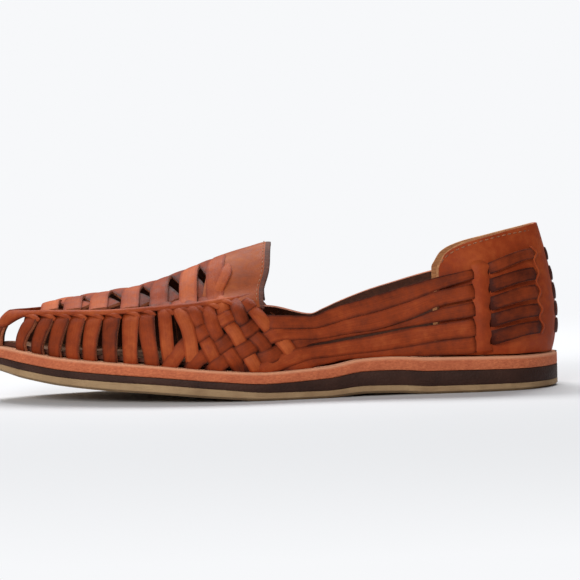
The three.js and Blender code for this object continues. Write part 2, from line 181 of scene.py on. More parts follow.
# The guide points of the upper's section at one angle of the sole
def sectionAt(side, angle):
    key = (side, round(angle, 5))
    if key not in sections:
        x = -halfLength * math.cos(angle)
        guide = {name: follow(upper, name, x) for name in upper}
        margin = follow(sole, "margin", x)
        base, outer = inset(side, angle, margin), inset(side, angle, margin - guide["belly"])
        foot = Vector((base.x, base.y, soleTop(base.x) + 0.3))
        rimY = follow(sole, "swing", guide["rimX"]) + side * guide["spread"] * math.sin(angle)
        rim = Vector((guide["rimX"], rimY, guide["height"]))
        belly = Vector((outer.x + (rim.x - foot.x) * 0.25, outer.y,
                        foot.z + (rim.z - foot.z) * guide["rise"]))
        crest = Vector((guide["crestX"], follow(sole, "swing", guide["crestX"]), guide["crest"]))
        shoulder = (rim + crest) / 2
        shoulder.z = crest.z - (crest.z - rim.z) * 0.12
        sections[key] = foot, belly, rim, shoulder, crest
    return sections[key]


def bend(a, control, b, t):
    return a * (1 - t) ** 2 + control * (2 * t * (1 - t)) + b * t * t


# The outer face of the upper: level 0 is the base line, 1 the rim and 2 the crest
def form(side, angle, level):
    foot, belly, rim, shoulder, crest = sectionAt(side, angle)
    if level <= 1:
        return bend(foot, belly, rim, level)
    return bend(rim, shoulder, crest, min(level, 2) - 1)


def formNormal(side, angle, level):
    step = 0.004
    down, up = max(level - step, 0), min(level + step, 2)
    if angle < step:
        along = form(side, step, min(level, 1.9)) - form(-side, step, min(level, 1.9))
    elif angle > math.pi - step:
        along = form(-side, math.pi - step, level) - form(side, math.pi - step, level)
    else:
        along = form(side, angle + step, level) - form(side, angle - step, level)
    rising = form(side, angle, up) - form(side, angle, down)
    return (along.cross(rising) * -side).normalized()


# The value between low and high up to which a test holds, by halving
def lastBelow(low, high, rounds, isBelow):
    for _ in range(rounds):
        middle = (low + high) / 2
        if isBelow(middle):
            low = middle
        else:
            high = middle
    return low


def levelAt(side, angle, height, top=1):
    return lastBelow(0, top, 20, lambda level: form(side, angle, level).z < height)


# The upper's point and normal seen from the side at x and height z
def place(side, x, z):
    at = x
    for _ in range(6):
        angle = angleAt(at)
        level = levelAt(side, angle, z, 2)
        at = min(max(at + x - form(side, angle, level).x, -halfLength), halfLength)
    angle = angleAt(at)
    point = form(side, angle, level)
    if level < 0.001:
        point = Vector((point.x, point.y, z))
    return point, formNormal(side, angle, max(level, 0.02))


# The same across the top: t runs from 0 at the outer base line over the crest at 2 to 4 at the inner one
def across(x, t):
    side, level = (lateral, t) if t <= 2 else (medial, 4 - t)
    angle = angleAt(x)
    point = form(side, angle, max(level, 0))
    if level < 0:
        point = point + Vector((0, 0, level * 20))
    return point, formNormal(side, angle, max(level, 0.02))


# The sole's x where the rim has this x
def soleAtRim(x):
    return lastBelow(-halfLength, halfLength, 24, lambda at: follow(upper, "rimX", at) < x)


view = {"sensor": 36, "distance": 1400, "elevation": 3, "roll": 1.7, "fieldWidth": 267.5,
        "aim": (8.8, 2.5, 47.0)}


def makeCamera():
    tilt = math.radians(view["elevation"])
    forward = Vector((0, math.cos(tilt), -math.sin(tilt)))
    up = Vector((0, math.sin(tilt), math.cos(tilt)))
    right = Vector((1, 0, 0))
    turn = Matrix.Rotation(math.radians(view["roll"]), 3, forward)
    right, up = turn @ right, turn @ up
    camera = bpy.data.objects.new("camera", bpy.data.cameras.new("camera"))
    camera.data.sensor_width = view["sensor"]
    camera.data.lens = view["sensor"] * view["distance"] / view["fieldWidth"]
    axes = Matrix((right, up, -forward)).transposed().to_4x4()
    axes.translation = (Vector(view["aim"]) - forward * view["distance"]) * mm
    camera.matrix_world = axes
    camera.data.clip_start = 0.05
    bpy.context.scene.collection.objects.link(camera)
    bpy.context.scene.camera = camera


def makeLight(name, at, size, power):
    lamp = bpy.data.lights.new(name, "AREA")
    lamp.shape = "RECTANGLE"
    lamp.size, lamp.size_y = size
    lamp.energy = power
    made = bpy.data.objects.new(name, lamp)
    made.location = at
    made.rotation_euler = (Vector((0, 0, 0.03)) - Vector(at)).to_track_quat("-Z", "Y").to_euler()
    bpy.context.scene.collection.objects.link(made)


def feed(tree, node, inputs):
    for name, value in inputs.items():
        if isinstance(value, bpy.types.NodeSocket):
            tree.links.new(value, node.inputs[name])
        else:
            node.inputs[name].default_value = value


def put(tree, kind, inputs=None, **settings):
    made = tree.nodes.new("ShaderNode" + kind)
    for name, value in settings.items():
        setattr(made, name, value)
    feed(tree, made, inputs or {})
    return made


def noise(tree, vector, scale, detail=2, roughness=0.5):
    inputs = {"Vector": vector, "Scale": scale, "Detail": detail, "Roughness": roughness}
    return put(tree, "TexNoise", inputs).outputs[0]


def cells(tree, vector, scale, randomness=1):
    return put(tree, "TexVoronoi", {"Vector": vector, "Scale": scale, "Randomness": randomness}).outputs[0]


def stretched(tree, vector, scale):
    return put(tree, "Mapping", {"Vector": vector, "Scale": scale}).outputs[0]


def bumped(tree, height, strength, distance):
    return put(tree, "Bump", {"Height": height, "Strength": strength, "Distance": distance}).outputs[0]


def mixed(tree, factor, a, b, blend="MIX"):
    made = put(tree, "Mix", {0: factor, 6: a, 7: b}, data_type="RGBA", blend_type=blend)
    return made.outputs[2]


def reckon(tree, operation, a, b=0.5):
    return put(tree, "Math", {0: a, 1: b}, operation=operation).outputs[0]


def ranged(tree, value, low, high, toLow=0.0, toHigh=1.0):
    made = put(tree, "MapRange", {"Value": value, "From Min": low, "From Max": high,
                                  "To Min": toLow, "To Max": toHigh})
    return made.outputs[0]


def rgb(red, green, blue):
    bright = [value / 255 for value in (red, green, blue)]
    return tuple([v / 12.92 if v < 0.04 else ((v + 0.055) / 1.055) ** 2.4 for v in bright] + [1])


def newMaterial(name):
    made = bpy.data.materials.new(name)
    made.use_nodes = True
    made.node_tree.nodes.clear()
    tree = made.node_tree
    shader = put(tree, "BsdfPrincipled")
    put(tree, "OutputMaterial", {"Surface": shader.outputs[0]})
    return made, tree, shader, put(tree, "TexCoord").outputs


def newGroup(name, inputs, outputs):
    group = bpy.data.node_groups.new(name, "ShaderNodeTree")
    for direction, sockets in (("INPUT", inputs), ("OUTPUT", outputs)):
        for label, kind, value in sockets:
            socket = group.interface.new_socket(label, in_out=direction, socket_type="NodeSocket" + kind)
            if value is not None:
                socket.default_value = value
    return group, group.nodes.new("NodeGroupInput").outputs, group.nodes.new("NodeGroupOutput")


# Waxed hide: mottled colour, rubbed light patches, fine pores and creases
def makeHide():
    group, given, out = newGroup(
        "waxed hide",
        [("Vector", "Vector", None), ("Tone", "Float", 0.5), ("Deep", "Color", rgb(62, 17, 3)),
         ("Body", "Color", rgb(142, 56, 20)), ("Rubbed", "Color", rgb(200, 104, 54)),
         ("Grain", "Float", 1.0)],
        [("Color", "Color", None), ("Roughness", "Float", None), ("Height", "Float", None)],
    )
    clouds = noise(group, given["Vector"], 55, 4, 0.6)
    spots = noise(group, given["Vector"], 330, 3)
    pores = cells(group, given["Vector"], 1300, 0.9)
    shade = reckon(group, "ADD", ranged(group, clouds, 0.3, 0.7, -0.17, 0.17), given["Tone"])
    shade = reckon(group, "ADD", shade, ranged(group, spots, 0.3, 0.7, -0.07, 0.07))
    dark = mixed(group, ranged(group, shade, 0.0, 0.5), given["Deep"], given["Body"])
    colour = mixed(group, ranged(group, shade, 0.5, 1.1), dark, given["Rubbed"])
    colour = mixed(group, ranged(group, pores, 0.25, 0.0, 0.0, 0.3), colour, given["Deep"])
    fine = noise(group, given["Vector"], 2600)
    relief = reckon(group, "ADD", ranged(group, pores, 0.0, 0.6, 0.0, 0.7), fine)
    feed(group, out, {"Color": colour, "Roughness": ranged(group, spots, 0.3, 0.7, 0.54, 0.72),
                      "Height": reckon(group, "MULTIPLY", relief, given["Grain"])})
    return group


hide = makeHide()


def coverWithHide(tree, shader, skin, height, strength, distance):
    feed(tree, shader, {"Base Color": skin["Color"], "Roughness": skin["Roughness"],
                        "Specular IOR Level": 0.16, "Normal": bumped(tree, height, strength, distance)})


# Strap leather: each strap has a tone of its own, lowered by painted shade where it sinks under others, and
# streaks along its length; its edges are darker, partly the leather's own darker edges and partly painted
# shade in the seams between straps
def makeStrapLeather():
    made, tree, shader, coords = newMaterial("strap_leather")
    # The tone attribute holds each strap's own tone, lowered by painted shade where the strap sinks under
    # others
    tone = put(tree, "Attribute", attribute_name="tone").outputs["Fac"]
    share = put(tree, "SeparateXYZ", {0: coords["UV"]}).outputs[1]
    edge = reckon(tree, "ABSOLUTE", reckon(tree, "SUBTRACT", share, 0.5))
    streaks = noise(tree, stretched(tree, coords["UV"], (0.25, 9, 1)), 1.6, 4)
    level = reckon(tree, "ADD", tone, ranged(tree, streaks, 0.3, 0.7, -0.07, 0.07))
    # Darker towards both edges of each strap: partly the leather's own darker edges, partly painted shade in
    # the seams between straps
    level = reckon(tree, "SUBTRACT", level, ranged(tree, edge, 0.32, 0.5, 0.0, 0.3))
    skin = put(tree, "Group", {"Vector": coords["Object"], "Tone": level}, node_tree=hide).outputs
    height = reckon(tree, "ADD", skin["Height"], reckon(tree, "MULTIPLY", streaks, 0.8))
    coverWithHide(tree, shader, skin, height, 0.35, 0.00025)
    return made


# The raw side of cut leather, paler and fibrous
def makeRawEdge(name, pale, dark, along=(260, 260, 1900)):
    made, tree, shader, coords = newMaterial(name)
    fibres = noise(tree, stretched(tree, coords["Object"], along), 1, 5, 0.7)
    patches = noise(tree, coords["Object"], 120, 3)
    colour = mixed(tree, ranged(tree, fibres, 0.3, 0.7), dark, pale)
    colour = mixed(tree, ranged(tree, patches, 0.45, 0.7, 0.0, 0.45), colour, dark)
    feed(tree, shader, {"Base Color": colour, "Roughness": 0.8, "Normal": bumped(tree, fibres, 0.6, 0.0004)})
    return made


def makePanelLeather(name, body, rubbed):
    made, tree, shader, coords = newMaterial(name)
    skin = put(tree, "Group", {"Vector": coords["Object"], "Tone": 0.53, "Deep": rgb(74, 26, 8),
                               "Body": body, "Rubbed": rubbed, "Grain": 0.8}, node_tree=hide).outputs
    coverWithHide(tree, shader, skin, skin["Height"], 0.3, 0.0002)
    return made


def makeRubber(name, body, dark, scale, roughness, strength):
    made, tree, shader, coords = newMaterial(name)
    clouds = noise(tree, coords["Object"], 70, 5)
    crumbs = cells(tree, coords["Object"], scale)
    sanded = noise(tree, stretched(tree, coords["Object"], (90, 90, 1500)), 1, 4)
    colour = mixed(tree, ranged(tree, clouds, 0.3, 0.75), body, dark)
    colour = mixed(tree, ranged(tree, crumbs, 0.3, 0.0, 0.0, 0.35), colour, dark)
    relief = reckon(tree, "ADD", crumbs, sanded)
    feed(tree, shader, {"Base Color": colour, "Roughness": roughness, "Specular IOR Level": 0.2,
                        "Normal": bumped(tree, relief, strength, 0.0004)})
    return made


def makeThread():
    made, tree, shader, coords = newMaterial("thread")
    twist = ranged(tree, noise(tree, coords["Object"], 1500), 0.35, 0.65)
    colour = mixed(tree, twist, rgb(110, 60, 36), rgb(176, 116, 78))
    feed(tree, shader, {"Base Color": colour, "Roughness": 0.7})
    return made


# The floor is lit near the sandal and turns into the backdrop further out
def makeFloorLook():
    made, tree, shader, coords = newMaterial("floor")
    away = put(tree, "VectorMath", {0: coords["Object"]}, operation="LENGTH").outputs["Value"]
    near = ranged(tree, away, 0.16, 0.55, 1.0, 0.0)
    feed(tree, shader, {
        "Base Color": mixed(tree, near, rgb(0, 0, 0), rgb(216, 217, 219)), "Roughness": 0.9,
        "Emission Color": mixed(tree, near, rgb(247, 248, 250), rgb(0, 0, 0)), "Emission Strength": 1,
        "Specular IOR Level": 0,
    })
    return made


strapLeather = makeStrapLeather()
cutEdge = makeRawEdge("cut_edge", rgb(196, 118, 78), rgb(130, 64, 38))
panelLeather = makePanelLeather("panel_leather", rgb(146, 68, 30), rgb(196, 118, 68))
counterLeather = makePanelLeather("counter_leather", rgb(146, 56, 20), rgb(200, 102, 50))
goldenEdge = makeRawEdge("golden_edge", rgb(206, 150, 98), rgb(150, 92, 54))
darkEdge = makeRawEdge("dark_edge", rgb(110, 58, 38), rgb(62, 28, 18))
fleshSide = makeRawEdge("flesh_side", rgb(92, 50, 28), rgb(58, 28, 15), (500, 500, 500))
footbed = makeRawEdge("footbed_leather", rgb(152, 100, 60), rgb(116, 70, 40), (300, 500, 500))
darkRubber = makeRubber("dark_rubber", rgb(66, 40, 30), rgb(40, 22, 16), 900, 0.62, 0.5)
crepe = makeRubber("crepe", rgb(172, 142, 106), rgb(138, 108, 78), 420, 0.7, 0.8)
thread = makeThread()
strapLooks = [strapLeather, cutEdge, fleshSide]  # face, cut edge, back
floorLook = makeFloorLook()
print("materials made")


def addObject(name, bm, looks):
    data = bpy.data.meshes.new(name)
    bm.to_mesh(data)
    bm.free()
    for look in looks:
        data.materials.append(look)
    made = bpy.data.objects.new(name, data)
    bpy.context.scene.collection.objects.link(made)
    return made


# A piece in metres, with its modifiers and its body
def finish(name, bm, looks, stands=(), slot=None, thick=0, rim=0, inner=0, bevel=0, rounds=0):
    bmesh.ops.scale(bm, vec=(mm, mm, mm), verts=bm.verts)
    made = addObject(name, bm, looks)
    for face in made.data.polygons:
        face.use_smooth = True
    made.data.set_sharp_from_angle(angle=math.radians(45))
    if thick:
        solid = made.modifiers.new("thickness", "SOLIDIFY")
        solid.thickness, solid.offset = thick * mm, -1
        solid.material_offset_rim, solid.material_offset = rim, inner
        solid.use_even_offset = False
    if bevel:
        soft = made.modifiers.new("bevel", "BEVEL")
        soft.width, soft.segments, soft.profile = bevel * mm, 2, 0.5
        soft.limit_method, soft.angle_limit = "ANGLE", math.radians(40)
    if rounds:
        fine = made.modifiers.new("rounding", "SUBSURF")
        fine.levels = fine.render_levels = rounds
    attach(made, "root")
    if stands:
        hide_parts(*stands)


# Straps share their looks: a leather face, a cut edge all round and the flesh side behind
def finishStraps(name, bm, thick, bevel=0.3, stands=()):
    finish(name, bm, strapLooks, stands=stands, slot="strap_leather", thick=thick, rim=1, inner=2,
           bevel=bevel, rounds=1)


# A path through rows of (x, z, lift, width), smooth and without overshoot, as evenly spaced samples
def smoothPath(rows, count):
    lengths = [0]
    for a, b in zip(rows, rows[1:]):
        lengths.append(lengths[-1] + math.hypot(b[0] - a[0], b[1] - a[1]) + 1e-6)
    columns = {"x": lengths}
    columns.update({i: [row[i] for row in rows] for i in range(len(rows[0]))})
    return [[follow(columns, i, lengths[-1] * k / (count - 1)) for i in range(len(rows[0]))]
            for k in range(count)]


# A strap on a path of (point, normal, lift, width): crowned, its right edge raised by tilt, its ends
# tapered, and its tone darkened as painted shade where it sinks under others
def addStrap(bm, path, tone, crown=0.35, tilt=0, wide=4, taper=(0, 0)):
    uvs = bm.loops.layers.uv.verify()
    toneAndShade = bm.verts.layers.float.get("tone") or bm.verts.layers.float.new("tone")
    last = len(path) - 1
    grid = bmesh.ops.create_grid(bm, x_segments=last, y_segments=wide, size=1)["verts"]
    spots = {vert: (round((vert.co.x + 1) / 2 * last), vert.co.y) for vert in grid}
    lengths = [0]
    for a, b in zip(path, path[1:]):
        lengths.append(lengths[-1] + (b[0] - a[0]).length)
    for vert, (i, v) in spots.items():
        point, normal, lift, width = path[i]
        along = (path[min(i + 1, last)][0] - path[max(i - 1, 0)][0]).normalized()
        side = normal.cross(along).normalized()
        ends = min(lengths[i] / taper[0] if taper[0] else 1,
                   (lengths[-1] - lengths[i]) / taper[1] if taper[1] else 1, 1)
        width *= 0.35 + 0.65 * math.sqrt(max(ends, 0))
        vert.co = point + side * (v * width / 2) + normal * (lift + crown * (1 - v * v) + tilt * v)
        # Painted shade: the tone is lowered where the strap's lift sinks below 0.3, under crossing straps
        # and at its tucked ends
        vert[toneAndShade] = tone - 0.3 * (1 - smooth(lift, -0.8, 0.3))
    for face in {face for vert in grid for face in vert.link_faces}:
        for loop in face.loops:
            i, v = spots[loop.vert]
            loop[uvs].uv = (lengths[i] / 10, (v + 1) / 2)


def strapOn(bm, side, rows, count, tone, **options):
    path = [(*place(side, x, z), lift, width) for x, z, lift, width in smoothPath(rows, count)]
    if side == medial:
        options["tilt"] = -options.get("tilt", 0)
    addStrap(bm, path, tone, **options)


def addSheet(bm, columns, rows, spot):
    uvs = bm.loops.layers.uv.verify()
    grid = bmesh.ops.create_grid(bm, x_segments=columns, y_segments=rows, size=1)["verts"]
    spots = {vert: (round((vert.co.x + 1) / 2 * columns), round((vert.co.y + 1) / 2 * rows))
             for vert in grid}
    for vert, (i, j) in spots.items():
        vert.co = spot(i, j)
    for face in bm.faces:
        for loop in face.loops:
            i, j = spots[loop.vert]
            loop[uvs].uv = (i / columns, j / rows)
    return spots


# The leather midsole's raw edge, paler along its top
def makeMidsoleLook():
    made = makeRawEdge("midsole_leather", rgb(212, 120, 76), rgb(164, 76, 42), (700, 700, 1500))
    tree = made.node_tree
    shader = tree.nodes["Principled BSDF"]
    body = shader.inputs["Base Color"].links[0].from_socket
    height = put(tree, "Attribute", attribute_name="height").outputs["Fac"]
    pale = ranged(tree, height, 0.72, 1.0, 0.0, 0.85)
    feed(tree, shader, {"Base Color": mixed(tree, pale, body, rgb(226, 164, 126))})
    return made


midsoleEdge = makeMidsoleLook()


layerGrid = {"along": 140, "wide": 8, "slope": 1.2}


# A layer between two heights. An undercut slopes the lowest part of its wall inwards.
def addLayer(bm, low, high, undercut):
    def ring(vert, distance, height):
        angle = math.pi * (vert.co.x + 1) / 2
        point = inset(lateral, angle, distance).lerp(inset(medial, angle, distance), (vert.co.y + 1) / 2)
        return Vector((point.x, point.y, height(point.x)))

    heights = bm.verts.layers.float.new("height")
    grid = bmesh.ops.create_grid(bm, x_segments=layerGrid["along"], y_segments=layerGrid["wide"],
                                 size=1)["verts"]
    top = bm.faces[:]
    levels = [(0, high), (undercut, low)]
    if undercut:
        levels.insert(1, (0, lambda x: low(x) + layerGrid["slope"]))
    rings = [grid]
    for _ in levels[1:]:
        made = bmesh.ops.extrude_face_region(bm, geom=top)["geom"]
        top = [item for item in made if isinstance(item, bmesh.types.BMFace)]
        rings.append([item for item in made if isinstance(item, bmesh.types.BMVert)])
    for verts, (distance, height) in zip(rings, levels):
        for vert in verts:
            vert.co = ring(vert, distance, height)
            vert[heights] = 1 if height is high else 0
    bmesh.ops.remove_doubles(bm, verts=bm.verts, dist=0.01)
    bmesh.ops.recalc_face_normals(bm, faces=bm.faces)


soleLayers = {
    "leather_midsole": {"below": ("floor", "outsole", "wedge"), "own": "midsole", "start": 0.45,
                        "rise": midsoleRise, "undercut": 0, "bevel": 0.7, "look": midsoleEdge,
                        "slot": "midsole_leather"},
    "midsole_wedge": {"below": ("floor", "outsole"), "own": "wedge", "start": 0.15, "rise": 0.4,
                      "undercut": 0, "bevel": 0.25, "look": darkRubber, "slot": "wedge"},
    "outsole": {"below": ("floor",), "own": "outsole", "start": 0, "rise": 0.1,
                "undercut": 2.2, "bevel": 0.3, "look": crepe, "slot": "outsole"},
}


def isUpright(edge):
    a, b = (vert.co for vert in edge.verts)
    return abs(a.x - b.x) + abs(a.y - b.y) <= 0.01


def makeSole():
    for name, layer in soleLayers.items():
        bm = bmesh.new()
        upToOwn = (*layer["below"], layer["own"])
        addLayer(bm, lambda x: stacked(layer["below"], x) + layer["start"],
                 lambda x: stacked(upToOwn, x) + layer["rise"], layer["undercut"])
        rims = [edge for edge in bm.edges if edge.calc_face_angle(0) > 0.8 and not isUpright(edge)]
        bmesh.ops.bevel(bm, geom=rims, offset=layer["bevel"], segments=2, profile=0.5, affect="EDGES",
                        material=-1)
        finish(name + "_shaped", bm, [layer["look"]], stands=(name,), slot=layer["slot"])


# The insole's edge turns up a little, and it is dished under the heel
insole = {"height": 1.9, "inset": 3.4, "turnUp": 0.9, "dish": 0.5, "thick": 1.8}


def makeInsole():
    bm = bmesh.new()
    grid = bmesh.ops.create_grid(bm, x_segments=120, y_segments=20, size=1)["verts"]
    for vert in grid:
        angle = math.pi * (vert.co.x + 1) / 2
        edge = abs(vert.co.y)
        distance = follow(sole, "margin", -halfLength * math.cos(angle)) + insole["inset"]
        a, b = inset(lateral, angle, distance), inset(medial, angle, distance)
        point = a.lerp(b, (vert.co.y + 1) / 2)
        cup = insole["turnUp"] * edge**4 - insole["dish"] * (1 - edge**2) * smooth(point.x, 60, 100)
        vert.co = (point.x, point.y, soleTop(point.x) + insole["height"] + cup * math.sin(angle))
    bmesh.ops.remove_doubles(bm, verts=grid, dist=0.01)
    finish("insole_footbed", bm, [footbed, darkEdge], stands=("insole",), slot="insole_leather",
           thick=insole["thick"], rim=1, bevel=0.4)


makeSole()
makeInsole()
print("sole made")


# The middle of the ridge by its x
ridge = table(
    "x height", (-119, 37.4), (-115, 38.7), (-109, 39.8), (-97, 40.1), (-78, 40.1), (-66, 40.6),
    (-55, 41.4), (-46, 42.0), (-32, 43.2), (-20.7, 45.0), (-10, 47.2), (-4, 48.4)
)

# The straps of the forefoot from the toe back: x at the sole and x at the ridge
sideStraps = {
    "feet": (-115.3, -107.2, -99.0, -90.5, -82.5, -73.1, -63.8, -54.2),
    "heads": (-110.1, -102.5, -95.1, -87.8, -80.0, -71.9, -63.1, -56.3),
    "footWidth": 7.0, "headWidth": 8.2, "thick": 1.7,
    "footBack": 1.3, "headBack": 1.6,  # the inner side's straps lie further back and are wider
    "footWider": 1.2, "lastFootWider": 3.4, "lastHeadWider": 2.2,
}


# Each rises from the sole to the ridge and is bowed out a little, one edge proud of the next strap
def makeSideStraps(side):
    bm = bmesh.new()
    for k, (foot, head) in enumerate(zip(sideStraps["feet"], sideStraps["heads"])):
        footWidth, headWidth = sideStraps["footWidth"], sideStraps["headWidth"]
        if side == medial:
            isLast = k == len(sideStraps["feet"]) - 1
            foot, head = foot + sideStraps["footBack"], head + sideStraps["headBack"]
            footWidth += sideStraps["lastFootWider"] if isLast else sideStraps["footWider"]
            headWidth += sideStraps["lastHeadWider"] if isLast else 0
        base, top = soleTop(foot), follow(ridge, "height", head) + 1
        middle = (foot + head) / 2 + chance.uniform(-0.2, 0.2)
        rows = [(foot, base - 1.5, -0.5, footWidth), (foot, base + 2, 0.4, footWidth),
                (middle, base + (top - base) * 0.5, 1.1, footWidth + 0.5),
                (head, top - 3.6, 0.6, headWidth), (head + 0.2, top - 0.2, -0.7, headWidth)]
        strapOn(bm, side, rows, 16, chance.uniform(0.3, 0.7), crown=0.5, tilt=-0.4)
    name = "side_straps_" + ("lateral" if side == lateral else "medial")
    finishStraps(name, bm, sideStraps["thick"], 0.25, stands=("woven_upper",) if side == lateral else ())


# The strap over the toe tip, from below the sole's edge up to the ridge. It wraps round the tip.
toeStrap = {"columns": 16, "rows": 8, "halfWidth": 6.8, "narrower": 1.2, "footRound": 34, "rimRound": 15,
            "tone": 0.42, "thick": 1.7}


def makeToeStrap():
    bm = bmesh.new()

    def spot(i, j):
        t = -0.06 + 1.1 * i / toeStrap["columns"]
        share = 2 * j / toeStrap["rows"] - 1
        side = lateral if share < 0 else medial
        around = toeStrap["footRound"] - (toeStrap["footRound"] - toeStrap["rimRound"]) * smooth(t, 0, 1)
        angle = math.asin(abs(share) * (toeStrap["halfWidth"] - toeStrap["narrower"] * t) / around)
        lift = 0.5 * smooth(t, -0.06, 0.3) - 0.9 * smooth(t, 0.8, 1.04) + 0.3 * (1 - share**2)
        point = form(side, angle, max(t, 0)) + formNormal(side, angle, max(t, 0.02)) * lift
        return point + Vector((0, 0, min(t, 0) * 20))

    addSheet(bm, toeStrap["columns"], toeStrap["rows"], spot)
    toneAndShade = bm.verts.layers.float.new("tone")
    for vert in bm.verts:
        vert[toneAndShade] = toeStrap["tone"]
    bmesh.ops.recalc_face_normals(bm, faces=bm.faces)
    finishStraps("toe_strap", bm, toeStrap["thick"])


# Strands of the basket weave by x and height. Crossings alternate over and under.
over, under = 0.9, -0.8
downStrands = [
    [(-48.3, 44.6, -0.5), (-47.8, 40, 0.7), (-46.8, 27, 0.9), (-46.3, 18, -0.5), (-46.3, 13.5, -1)],
    [(-42.3, 45, -0.5), (-40.9, 40.5, 0.7), (-37.4, 33, 1.0), (-36.2, 27, 0.9), (-35.8, 21, 0.4),
     (-35.4, 13, -1)],
    [(-37.5, 45.2, -0.4), (-34.6, 40.4, over), (-31.1, 31.3, under), (-27.3, 22.7, over),
     (-24.6, 16.3, under), (-23.4, 12.5, -1)],
    [(-30.6, 46.5, -0.4), (-28.5, 42.0, 0.2), (-26.5, 34.7, over), (-21.9, 25.6, under), (-18.0, 20.1, over),
     (-15.0, 14.8, under), (-14.2, 11.5, -1)],
    [(-23.4, 48, -0.6), (-22.2, 44.0, 0.2), (-20.2, 37.2, under), (-15.9, 29.9, over), (-12.1, 23.1, under),
     (-8.7, 17.2, over), (-6.0, 11.5, -1)],
    [(-16.9, 48.5, -0.6), (-16.3, 45.5, -0.2), (-14.7, 40.2, over), (-10.5, 31.6, under), (-4.9, 26.3, over),
     (-1.0, 19.7, under), (3.0, 11.5, -1)],
    [(-10.4, 47, -1.6), (-9.3, 43.6, under), (-4.6, 36.1, over), (1.9, 29.3, under), (6.7, 23.5, over),
     (10.5, 17.9, under), (13.4, 11.5, -1)],
]
# One more strand lies behind the inner side's first opening
coverStrands = [[(-44.5, 44, -1.4), (-43.0, 30, -1.0), (-41.5, 13, -1.4)]]
upStrands = [
    [(-49.0, 12.5, -1), (-46.6, 15.7, over), (-43.1, 20.7, over), (-36.8, 28.0, under), (-31.1, 31.3, over),
     (-26.5, 34.7, under), (-20.2, 37.2, over), (-14.7, 40.2, under), (-9.3, 43.4, over),
     (-6.5, 45.5, -1.4)],
    [(-38.4, 12.5, -1), (-33.3, 19.1, over), (-27.3, 22.7, under), (-21.9, 25.6, over), (-15.9, 29.9, under),
     (-10.5, 31.6, over), (-4.6, 35.7, under), (1.5, 34.6, 1.1)],
    [(-28.4, 12.5, -1), (-24.3, 16.8, over), (-18.0, 20.1, under), (-12.1, 23.1, over), (-4.9, 26.3, under),
     (1.9, 29.3, over), (8.5, 29.6, 0.6)],
    [(-16.0, 12, -1), (-13.8, 14.5, under), (-8.7, 17.4, under), (-1.0, 19.8, over), (6.7, 23.6, under),
     (13, 25.6, 0.3)],
    [(-6.5, 11.5, -1), (-4.0, 13.8, over), (4.2, 17.1, 0.2), (10.6, 19.4, over)],
    [(4.4, 11.5, -1), (12.2, 14.4, 0.2)],
]
weave = {
    "down": 6.3, "up": 6.6, "thick": 1.7, "downCrown": 0.9, "upCrown": 0.5,
    "toneAndShade": (0.5, 0.36, 0.42, 0.34, 0.5, 0.4), "rises": (0, 1.3, 0.6, 0.0, 0.5, 0.2),  # of the up strands
    "stations": (18.5, 26, 33, 47, 61.5, 76, 88),  # of the long straps
    "ends": ((89.8, 0.6), (91.6, -0.2), (93, -1.6), (95.5, -2.8)),  # where they dive under the counter
}


# A long strap's middle height and width along the quarter, the topline strap as 0. On the inner side they
# are wider, and the topline strap starts lower.
def longRow(k, x, lift, side):
    low, high = strapEdges(4 - k, x)
    raised, wider = 0, 0.8 if k > 2 else 0
    if side == medial:
        raised, wider = 0.4 * smooth(x, 4, 30), 2.6 if k > 2 else 1.6
        if k == 0:
            raised -= 3.2 * (1 - smooth(x, 16, 52))
    spare = 0.2 + (1.7 if k < 2 else 0) * (1 - smooth(x, 50, 84)) + wider
    if side == medial and k == 4:
        raised, spare = raised - 1.2, spare + 1.6
    return (x, (low + high) / 2 + raised - spare * 0.3, lift, high - low + spare)


def makeWeave(side):
    bm = bmesh.new()
    for strand in downStrands + (coverStrands if side == medial else []):
        rows = [(x, z, lift, weave["down"]) for x, z, lift in strand]
        strapOn(bm, side, rows, 34, chance.uniform(0.36, 0.72), crown=weave["downCrown"])
    for k, strand in enumerate(upStrands):
        rows = [(x, z, lift, weave["up"]) for x, z, lift in strand]
        if k:
            stations = [x for x in weave["stations"] if x > strand[-1][0] + 4]
            rise = weave["rises"][k]
            rows += [longRow(k - 1, x, rise + (0.7 - rise) * smooth(x, 50, 80), side) for x in stations]
            rows += [longRow(k - 1, x, lift, side) for x, lift in weave["ends"]]
        strapOn(bm, side, rows, 90 if k else 40, weave["toneAndShade"][k], crown=weave["upCrown"])
    finishStraps("weave_" + ("lateral" if side == lateral else "medial"), bm, weave["thick"])


# The rounded ridge between side and top: one long band, wider round the toe and sunk under the panel at
# its ends, and a lobe that laps over each strap's head
ridgeBand = {"half": 45, "end": -8, "width": 3.8, "toeWider": 5.4, "lift": 0.9, "sinks": 1.3,
             "crown": 0.9, "tone": 0.6,
             "backHeads": (-47.8, -40.8, -34.2, -27.6, -21), "innerBack": 1.6,
             "lobe": ((-4.6, 0.1, 0.0, 2.4), (-1.4, -0.4, 0.8, 3.0), (2.0, -1.3, 1.1, 3.0),
                      (4.4, -2.5, 0.3, 2.0))}


